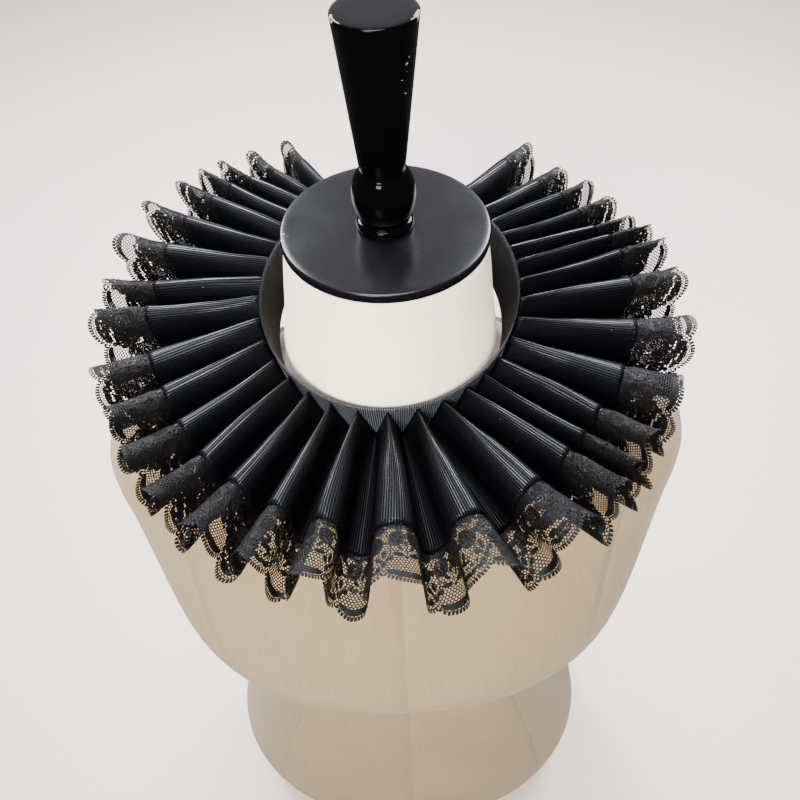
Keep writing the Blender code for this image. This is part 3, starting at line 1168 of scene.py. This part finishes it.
# Filled shapes of one repeat in mm: across, down from the ribbon's edge, length, width,
# turn in degrees from straight down, pointedness, and how much broader the outer end is
SPRIG = (
    (0.0, 18.6, 6.0, 3.2, 0, 0.8, 0.0),
    *mirrored((-3.0, 21.4, 5.8, 2.8, 52, 0.8, 0.0)),
    (0.0, 25.0, 3.8, 3.4, 0, 0.1, 0.2),
)
SMALL_PETALS = (
    *mirrored((-5.0, 1.2, 10.6, 9.0, -36, 0.15, 0.25)),
    (0.0, 4.6, 3.4, 2.8, 0, 0.0, 0.0),
    (-3.6, -5.8, 7.0, 5.0, 84, 0.2, 0.0),
    (3.8, -5.8, 7.0, 5.0, -84, 0.2, 0.0),
)
LARGE_PETALS = (
    *mirrored((-6.1, 11.2, 12.4, 10.8, -36, 0.15, 0.25), (-8.8, 2.4, 9.0, 6.8, -96, 0.15, 0.25)),
    (0.0, 19.0, 4.8, 3.2, 0, 0.8, 0.0),
    (0.0, 4.0, 5.0, 4.0, 0, 0.0, 0.0),
)
LEAF_SPRAY = (
    *mirrored((-4.6, 19.0, 7.4, 2.9, 78, 0.75, 0.0), (-3.4, 15.0, 4.6, 2.2, 48, 0.8, 0.0)),
    (0.0, 20.6, 2.2, 2.2, 0, 0.0, 0.0),
    *mirrored((-8.9, 11.5, 4.6, 2.3, 25, 0.8, 0.0)),
)
# Small leaves, and dots, that follow the scalloped edge
BORDER_LEAF = (0.0, 0.0, 4.3, 3.0)
BORDER_LEAVES, LEAF_APART, LEAF_TURN, LEAF_IN = range(-3, 4), 3.1 * MM, 38, 6.4 * MM
DOT = (0.0, 0.0, 1.9, 1.9, 0, 0.0, 0.0)
DOTS, DOT_APART, DOT_IN = range(-2, 3), 3.4 * MM, 10.0 * MM
# Lines of cord of one repeat, in mm: across from the motif's middle, down
VINE = ((0.0, 24.0), (2.6, 22.0), (3.6, 17.0), (3.0, 12.0), (1.5, 6.0), (1.0, -3.5))
SPRAY_STEM = ((0.0, 10.5), (0.3, 14.0), (0.0, 19.5))
SPRAY_CURL = ((0.5, 19.8), (4.0, 18.0), (8.0, 15.0), (9.4, 9.0), (7.0, 3.0), (5.0, -3.0))
PETAL_STEM = ((0.0, 5.8), (0.4, 10.0), (0.0, 16.0))
PETAL_CURL = ((0.0, 20.2), (3.0, 21.6), (6.5, 20.0), (9.5, 17.0))
# Middle across, single lines, mirrored lines
CORDS = (
    (0.0, (), VINE),
    (SCALLOP_LENGTH / MM, (), VINE),
    (SECOND / MM, SPRAY_STEM, SPRAY_CURL),
    (FIRST / MM, PETAL_STEM, PETAL_CURL),
)


def edge_at(across):
    """How far down the lace's scalloped edge lies."""
    bump = abs(math.sin(math.pi * across / SCALLOP_LENGTH)) ** 0.6
    return LACE_WIDTH - SCALLOP_DEPTH * (1.0 - bump)


def edge_turn(across):
    """The slope of a softened scallop, in radians."""
    step = 0.9 * MM
    return math.atan2(edge_at(across + step) - edge_at(across - step), 2 * step)


def repeat_shapes():
    """All filled shapes of one repeat, in metres."""
    placed = [
        (LARGE_PETALS, FIRST, 0.0),
        (LEAF_SPRAY, SECOND, 0.0),
        (SMALL_PETALS, SECOND, 7.4 * MM),
        (SPRIG, 0.0, 0.0),
        (SPRIG, SCALLOP_LENGTH, 0.0),
    ]
    for k in BORDER_LEAVES:
        across = FIRST + k * LEAF_APART
        turn = 90 - math.degrees(edge_turn(across)) + (LEAF_TURN if k % 2 else -LEAF_TURN)
        leaf = (*BORDER_LEAF, turn, 0.35, 0.0)
        placed.append(((leaf,), across, edge_at(across) - LEAF_IN))
    for k in DOTS:
        across = FIRST + k * DOT_APART
        placed.append(((DOT,), across, edge_at(across) - DOT_IN))
    return [
        (across + x * MM, down + y * MM, length * MM, width * MM, math.radians(turn), point, egg)
        for shapes, across, down in placed
        for x, y, length, width, turn, point, egg in shapes
    ]


def inside_shape(shape, across, down, margin):
    """True if a point lies in a filled shape, this far from its edge."""
    x, y, length, width, turn, _, _ = shape
    dx, dy = across - x, down - y
    along = dx * math.sin(turn) + dy * math.cos(turn)
    aside = dx * math.cos(turn) - dy * math.sin(turn)
    half_length, half_width = length / 2 - margin, width / 2 - margin
    if half_length <= 0 or half_width <= 0:
        return False
    return (along / half_length) ** 2 + (aside / half_width) ** 2 < 1.0


def add_shape(bm, shape, cord, segments):
    """A filled leaf or petal with a raised cord round it."""
    x, y, length, width, turn, point, egg = shape
    made = bmesh.ops.create_circle(bm, cap_ends=True, segments=segments, radius=0.5)
    spin = Matrix.Rotation(-turn, 4, "Z")
    for vert in made["verts"]:
        end = abs(2 * vert.co.y)
        slim = 1.0 - point * 0.45 * end**2
        broad = 1.0 + egg * vert.co.y
        flat = Vector((vert.co.x * width * slim * broad, vert.co.y * length, 0.0))
        vert.co = spin @ flat + Vector((x, y, 0.0))
    fill = made["verts"][0].link_faces[0]
    narrow = min(length, width)
    half = min(cord / 2, narrow * 0.11)
    for lift in (0.22 * MM, -0.16 * MM):
        bmesh.ops.inset_region(
            bm, faces=[fill], thickness=half, depth=lift, use_even_offset=True, use_boundary=True
        )
    fill.material_index = 1


def add_cord(bm, path, steps, width, lift=0.2 * MM):
    """A raised cord along a path, which gives a flat point for a share from 0 to 1."""
    made = bmesh.ops.create_grid(bm, x_segments=steps, y_segments=2, size=0.5)
    for vert in made["verts"]:
        share, side = vert.co.x + 0.5, vert.co.y * 2.0
        here = path(share)
        ahead = path(min(1.0, share + 0.01)) - path(max(0.0, share - 0.01))
        aside = Vector((-ahead.y, ahead.x, 0.0)).normalized()
        vert.co = here + aside * side * width / 2
        vert.co.z += lift * (1.0 - abs(side))


def add_picot(bm, across):
    """One bar of the lace's outer edge."""
    made = bmesh.ops.create_circle(bm, cap_ends=True, segments=8, radius=0.5)
    spin = Matrix.Rotation(edge_turn(across) * PICOT_LEAN, 4, "Z")
    middle = Vector((across, edge_at(across) - PICOT_LENGTH / 2, 0.0))
    for vert in made["verts"]:
        x = power(vert.co.x * 2, 0.5) / 2 * PICOT_WIDTH
        y = power(vert.co.y * 2, 0.7) / 2 * PICOT_LENGTH
        vert.co = spin @ Vector((x, y, 0.0)) + middle
    faces = made["verts"][0].link_faces[:]
    for vert in bmesh.ops.poke(bm, faces=faces)["verts"]:
        vert.co.z += PICOT_HEIGHT


def add_heading(bm):
    """The closely worked straight edge by which the lace is sewn on."""
    made = bmesh.ops.create_grid(bm, x_segments=24, y_segments=3, size=0.5)
    for vert in made["verts"]:
        across = (vert.co.x + 0.5) * REPEAT
        bend = 0.5 * MM * math.sin(math.tau * across / (REPEAT / 12))
        row = vert.co.y + 0.5
        vert.co = (across, -LACE_LAP + (LACE_LAP + HEADING) * row + bend * row, 0.1 * MM)
    for face in {face for vert in made["verts"] for face in vert.link_faces}:
        face.material_index = 1


def bent_path(points):
    """A smooth path through points in mm, as a function of a share from 0 to 1."""
    points = [Vector((x * MM, y * MM, 0.0)) for x, y in points]
    last = len(points) - 1

    def path(share):
        at = min(int(share * last), last - 1)
        t = share * last - at
        before, start = points[max(at - 1, 0)], points[at]
        end, after = points[at + 1], points[min(at + 2, last)]
        return (
            start * 2 + (end - before) * t + (before * 2 - start * 5 + end * 4 - after) * t**2
            + (start * 3 - before - end * 3 + after) * t**3
        ) / 2

    return path


def scallop_path(first, last, inward):
    """A path along the scalloped edge, from one place across to another."""

    def path(share):
        across = first + (last - first) * share
        return Vector((across, edge_at(across) - inward(share), 0.0))

    return path


def repeat_mesh(settings):
    """The cords, filled shapes and picots of one repeat of the lace, flat."""
    bm = bmesh.new()
    for shape in repeat_shapes():
        add_shape(bm, shape, settings.cord, 18 if shape[2] > 6 * MM else 12)
    for middle, single, paired in CORDS:
        for line, side in ((single, 1), (paired, 1), (paired, -1)):
            moved = [(middle + side * x, y) for x, y in line]
            if moved:
                add_cord(bm, bent_path(moved), 5 * (len(line) - 1), settings.cord * 0.8)
    add_heading(bm)
    for start in (0.0, SCALLOP_LENGTH):
        edge = scallop_path(start, start + SCALLOP_LENGTH, lambda share: FOOT)
        add_cord(bm, edge, 22, 0.55 * MM)
        for k in range(settings.picots):
            add_picot(bm, start + SCALLOP_LENGTH * (k + 0.5) / settings.picots)
    for k in range(CRESCENTS):

        def inward(share, k=k):
            deep = 0.45 + 0.55 * math.sin(math.pi * share)
            return FOOT + 1.15 * MM + CRESCENT_APART * k * deep

        path = scallop_path(SCALLOP_LENGTH + 1.6 * MM, REPEAT - 1.6 * MM, inward)
        add_cord(bm, path, 22, CRESCENT_CORD)
    mesh = bpy.data.meshes.new("lace_repeat")
    bm.to_mesh(mesh)
    bm.free()
    return mesh


def worked_cell(middle, start):
    """True for a cell that is closely worked. They are few in the middle of the front."""
    across = middle.x % REPEAT
    dense = smooth_step(*DENSE_FROM_FRONT, abs(start + middle.x - LACE_FRONT))
    wave = math.cos(math.tau * (across - FIRST) / REPEAT)
    reach = WORKED_DOWN + WORKED_DENSER * dense + WORKED_WAVE * wave
    patchy = math.sin(middle.x * 3100.0 + middle.y * 900.0) * math.sin(middle.y * 2300.0 + 1.0)
    return middle.y < reach and patchy < 1.1 * dense - 0.45


def net_faces(bm, settings, repeats, start):
    """The net of a length of lace: six-sided cells, left out where the lace is filled."""
    columns = 2 * settings.cells * repeats
    rows = math.ceil((LACE_LAP + LACE_WIDTH) / settings.row_height)
    bmesh.ops.create_grid(bm, x_segments=columns, y_segments=rows, size=0.5)
    apart = []
    for edge in bm.edges:
        first, second = (vert.co for vert in edge.verts)
        column = round((first.x + 0.5) * columns)
        row = round((min(first.y, second.y) + 0.5) * rows)
        upright = abs(first.x - second.x) < 1e-9
        if upright and (column + row) % 2 and 0 < column < columns:
            apart.append(edge)
    bmesh.ops.dissolve_edges(bm, edges=apart, use_verts=False)
    width = REPEAT / (2 * settings.cells)
    for vert in bm.verts:
        column = round((vert.co.x + 0.5) * columns)
        row = round((vert.co.y + 0.5) * rows)
        up = settings.row_height / 6 * (-1) ** (column + row)
        vert.co = (column * width, row * settings.row_height - LACE_LAP + up, 0.0)
    shapes = repeat_shapes()
    shapes += [(s[0] + REPEAT, *s[1:]) for s in shapes if s[0] < 4 * MM]
    gone = []
    for face in bm.faces:
        middle = face.calc_center_median()
        across = middle.x % REPEAT
        if (
            middle.y < HEADING - 0.9 * MM
            or middle.y > edge_at(across) - PICOT_LENGTH + 0.3 * MM
            or any(inside_shape(shape, across, middle.y, 0.75 * MM) for shape in shapes)
        ):
            gone.append(face)
    bmesh.ops.delete(bm, geom=gone, context="FACES")
    cells = bm.faces[:]
    open_cells = [face for face in cells if not worked_cell(face.calc_center_median(), start)]
    bmesh.ops.inset_individual(
        bm, faces=cells, thickness=settings.net_thread / 2, depth=-0.26 * MM, use_even_offset=True
    )
    for face in cells:
        face.material_index = 1
    bmesh.ops.delete(bm, geom=open_cells, context="FACES_ONLY")
    loose = [edge for edge in bm.edges if not edge.link_faces]
    bmesh.ops.delete(bm, geom=loose, context="EDGES")


def place_lace(flat):
    """Where a point of the flat lace lies on the worn ruffle. Its z is its height on the lace."""
    column = column_at(LACE_LENGTHS, flat.x / (REPEATS * REPEAT) * LACE_LENGTHS[-1])
    out = max(0.0, flat.y / LACE_WIDTH)
    along = 1.0 + flat.y / RIBBON_WIDTH
    point = lace_point(column, out) if out else ruffle_point(column, along)
    lap = LAP_DROP * (1.0 - smooth_step(0.5 * MM, 7 * MM, flat.y))
    turn = column / STEPS_PER_PLEAT
    curl = math.sin(turn * 5.1 + 0.4) + 0.8 * math.sin(turn * 12.7 + out * 2.0)
    wave = smooth_step(0.25, 1.0, out) * LACE_CURL * curl
    lift = flat.z - lap + wave + cloth_life(column, min(along, 1.0))
    return point + ruffle_out(column, along) * lift


class RUFF_OT_lace(bpy.types.Operator):
    """Makes the scalloped lace: net, cords, leaves, petals and picots, in three joined lengths"""

    bl_idname = "ruff.lace"
    bl_label = "Lace edging"

    def execute(self, context):
        settings = context.scene.ruff_lace
        template = repeat_mesh(settings)
        thread = lace_thread("lace_thread", settings.colour)
        fill = lace_clothwork("lace_clothwork", settings.colour)
        cuts = [round(REPEATS * k / len(LACE_PARTS)) for k in range(len(LACE_PARTS) + 1)]
        for part, first, last in zip(LACE_PARTS, cuts, cuts[1:]):
            bm = bmesh.new()
            net_faces(bm, settings, last - first, first * REPEAT)
            for k in range(last - first):
                before = len(bm.verts)
                bm.from_mesh(template)
                bm.verts.ensure_lookup_table()
                bmesh.ops.translate(bm, verts=bm.verts[before:], vec=(k * REPEAT, 0.0, 0.0))
            self.gather(bm, first * REPEAT)
            made = mesh_piece("lace_edging_" + part, bm, [thread, fill], ("lace_edging",))
        bpy.data.meshes.remove(template)
        return {"FINISHED"}

    def gather(self, bm, start):
        """Give the flat lace its cloth map, then lay it on the ruffle."""
        uv = bm.loops.layers.uv.new("Cloth")
        for face in bm.faces:
            for loop in face.loops:
                loop[uv].uv = (loop.vert.co.x + start, loop.vert.co.y)
        for vert in bm.verts:
            vert.co = place_lace(Vector((vert.co.x + start, vert.co.y, vert.co.z)))
        bmesh.ops.reverse_faces(bm, faces=bm.faces)


# ---------------------------------------------------------------- sewing


class RUFF_OT_sewing(bpy.types.Operator):
    """Makes the stitches of the lace seam, the pleats and the neckband"""

    bl_idname = "ruff.sewing"
    bl_label = "Sewing"

    def execute(self, context):
        settings = context.scene.ruff_sewing
        thread = sewing_thread("sewing_thread", settings.colour)
        self.lace_seam(settings, thread)
        self.pleat_tacks(settings, thread)
        self.band_topstitch(settings, thread)
        return {"FINISHED"}

    def lace_seam(self, settings, thread):
        """A row of stitches that holds the lace under the ribbon's edge."""
        bm = bmesh.new()
        along = 1.0 - SEAM_IN / RIBBON_WIDTH
        count = int(RIM_LENGTHS[-1] / (settings.stitch * SEAM_PACE))
        for k in range(count):
            lengths = [RIM_LENGTHS[-1] * share / count for share in (k + 0.13, k + 0.87)]
            ends = [ribbon_face(column_at(RIM_LENGTHS, length), along) for length in lengths]
            add_stitch(bm, ends[0][0], ends[1][0], settings.thread, ends[0][1])
        mesh_piece("lace_seam_stitches", bm, [thread])

    def pleat_tacks(self, settings, thread):
        """Three short stitches over each crest where it is tacked to the neckband."""
        bm = bmesh.new()
        for fold in range(len(FOLDS)):
            middle = (fold + 0.5) * STEPS_PER_PLEAT
            for along in TACKS:
                columns = (middle - 0.9, middle, middle + 0.9)
                (left, _), (top, up), (right, _) = (ribbon_face(at, along) for at in columns)
                add_stitch(bm, left, top, settings.thread, up)
                add_stitch(bm, top, right, settings.thread, up)
        mesh_piece("pleat_tacks", bm, [thread])

    def band_topstitch(self, settings, thread):
        """Rows by the neckband's edges: by the top one on both faces, by the other inside."""
        bm = bmesh.new()
        turn = math.degrees(settings.stitch * TOPSTITCH_PACE / BAND_RADIUS)
        count = int(2 * BAND_HALF_TURN / turn)
        out = BAND_CLOTH / 2
        for down, side in ((0.05, 1), (0.05, -1), (0.95, -1)):
            start, end = (-BAND_HALF_TURN, down), (BAND_HALF_TURN, down)
            add_band_stitches(bm, start, end, count, side * out, settings.thread)
        mesh_piece("band_topstitch", bm, [thread])


# ---------------------------------------------------------------- back closing


class RUFF_OT_back_closing(bpy.types.Operator):
    """Makes the lapped tab of the back and its two press studs"""

    bl_idname = "ruff.back_closing"
    bl_label = "Back closing"

    def execute(self, context):
        self.tab(context.scene.ruff_ribbon, context.scene.ruff_sewing)
        metal = dark_metal("stud_metal")
        for name, down in STUDS_DOWN.items():
            self.stud(name, down, metal)
        return {"FINISHED"}

    def tab(self, settings, sewing):
        """The tab, its stitches and its whole cut."""
        made = band_strip(
            "closing_tab",
            (TAB_FROM, TAB_TO),
            (TAB_TOP, TAB_FOOT),
            TAB_OUT,
            TAB_WIDTH,
            TAB_COLUMNS,
            grosgrain("grosgrain_tab", settings.colour, settings.rib_pitch * 0.75),
            "closure_tab",
            TAB_CLOTH,
        )
        self.topstitch(sewing)

    def topstitch(self, settings):
        """A line of stitches along each of the tab's four edges."""
        bm = bmesh.new()
        left, right = TAB_FROM + HEM_TURN, TAB_TO - HEM_TURN
        top, foot = TAB_TOP + HEM, TAB_FOOT - HEM
        for start, end, count in (
            ((left, top), (right, top), 11),
            ((left, foot), (right, foot), 11),
            ((left, top), (left, foot), 6),
            ((right, top), (right, foot), 6),
        ):
            out = TAB_OUT + TAB_CLOTH / 2
            add_band_stitches(bm, start, end, count, out, settings.thread)
        thread = sewing_thread("tab_thread", settings.colour)
        mesh_piece("tab_topstitch", bm, [thread])

    def stud(self, name, down, metal):
        """The cap of a press stud: a low dome with a rolled rim."""
        bm = spun(STUD_SHAPE, 40)
        facing = band_out(STUD_ANGLE)
        foot = band_point(STUD_ANGLE, down, TAB_OUT) + facing * (TAB_SOLID / 2 + 2 * SEAM_GAP)
        turn = facing.to_track_quat("Z", "Y").to_matrix().to_4x4()
        bmesh.ops.transform(bm, matrix=Matrix.Translation(foot) @ turn, verts=bm.verts)
        made = mesh_piece("press_stud_" + name, bm, [metal], ("snap_" + name,))
        give_subdivision(made, 1)


# ---------------------------------------------------------------- stage


class RUFF_OT_stage(bpy.types.Operator):
    """Makes the plain floor, the soft lights and the camera"""

    bl_idname = "ruff.stage"
    bl_label = "Stage"

    def execute(self, context):
        settings = context.scene.ruff_stage
        self.floor(settings)
        self.room(settings)
        self.lights(settings)
        self.camera(context)
        return {"FINISHED"}

    def floor(self, settings):
        bm = bmesh.new()
        bmesh.ops.create_grid(bm, x_segments=2, y_segments=2, size=5.0)
        mesh = bpy.data.meshes.new("floor")
        bm.to_mesh(mesh)
        bm.free()
        paint = Paint("floor_paint")
        cloud = paint.noise(paint.place, 1.2)
        colour = settings.floor_colour
        look = {"Base Color": paint.mix(cloud, shaded(colour, 0.95), colour), "Roughness": 0.9}
        mesh.materials.append(paint.finish(look))
        floor = bpy.data.objects.new("floor", mesh)
        floor.location.z = -0.5 * MM
        floor.visible_glossy = False
        bpy.context.scene.collection.objects.link(floor)

    def room(self, settings):
        world = bpy.data.worlds.new("room")
        bpy.context.scene.world = world
        world.use_nodes = True
        back = world.node_tree.nodes["Background"]
        back.inputs["Color"].default_value = (1.0, 0.97, 0.94, 1.0)
        back.inputs["Strength"].default_value = settings.room_light

    def lights(self, settings):
        for name, place, size, setting, share, colour, spread, left_out in LIGHTS:
            lamp = bpy.data.lights.new(name, "AREA")
            lamp.energy = getattr(settings, setting) * share
            lamp.color = colour
            lamp.size = size
            lamp.spread = math.radians(spread)
            made = bpy.data.objects.new(name, lamp)
            made.location = place
            aim = Vector(AIM) - Vector(place)
            made.rotation_euler = aim.to_track_quat("-Z", "Y").to_euler()
            if left_out:
                setattr(made, left_out, False)
            bpy.context.scene.collection.objects.link(made)

    def camera(self, context):
        pitch, roll = math.radians(CAMERA_PITCH), math.radians(CAMERA_ROLL)
        forward = Vector((0.0, math.cos(pitch), -math.sin(pitch)))
        level = Vector((1.0, 0.0, 0.0))
        upright = Vector((0.0, math.sin(pitch), math.cos(pitch)))
        right = level * math.cos(roll) + upright * math.sin(roll)
        up = upright * math.cos(roll) - level * math.sin(roll)
        lens = bpy.data.cameras.new("camera")
        lens.lens = CAMERA_LENS
        lens.sensor_width = 36.0
        lens.clip_start = 0.01
        made = bpy.data.objects.new("camera", lens)
        turn = Matrix((right, up, -forward)).transposed().to_4x4()
        made.matrix_world = Matrix.Translation(CAMERA_PLACE) @ turn
        context.scene.collection.objects.link(made)
        context.scene.camera = made


# ---------------------------------------------------------------- panel and registration

SETTINGS = {
    "ruff_form": RuffFormSettings,
    "ruff_ribbon": RuffRibbonSettings,
    "ruff_lace": RuffLaceSettings,
    "ruff_sewing": RuffSewingSettings,
    "ruff_stage": RuffStageSettings,
}
OPERATORS = (
    RUFF_OT_form_cover,
    RUFF_OT_cap_and_knob,
    RUFF_OT_sewing,
    RUFF_OT_neckband,
    RUFF_OT_ribbon,
    RUFF_OT_lace,
    RUFF_OT_back_closing,
    RUFF_OT_stage,
)


class RUFF_PT_sidebar(bpy.types.Panel):
    """Lists the pieces of the collar and their settings"""

    bl_idname = "RUFF_PT_sidebar"
    bl_label = "Ruff collar"
    bl_space_type = "VIEW_3D"
    bl_region_type = "UI"
    bl_category = "Ruff"

    def draw(self, context):
        for operator in OPERATORS:
            self.layout.operator(operator.bl_idname)
        for name, group in SETTINGS.items():
            box = self.layout.box()
            box.label(text=name.replace("_", " ").capitalize())
            for field in group.__annotations__:
                box.prop(getattr(context.scene, name), field)


def register():
    for group in SETTINGS.values():
        bpy.utils.register_class(group)
    for name, group in SETTINGS.items():
        setattr(bpy.types.Scene, name, bpy.props.PointerProperty(type=group))
    for operator in OPERATORS:
        bpy.utils.register_class(operator)
    bpy.utils.register_class(RUFF_PT_sidebar)


def unregister():
    bpy.utils.unregister_class(RUFF_PT_sidebar)
    for operator in reversed(OPERATORS):
        bpy.utils.unregister_class(operator)
    for name in SETTINGS:
        delattr(bpy.types.Scene, name)
    for group in SETTINGS.values():
        bpy.utils.unregister_class(group)


def main():
    register()
    bpy.ops.ruff.form_cover()
    bpy.ops.ruff.cap_and_knob()
    bpy.ops.ruff.sewing()
    bpy.ops.ruff.neckband()
    bpy.ops.ruff.ribbon()
    bpy.ops.ruff.lace()
    bpy.ops.ruff.back_closing()
    bpy.ops.ruff.stage()


if __name__ == "__main__":
    main()
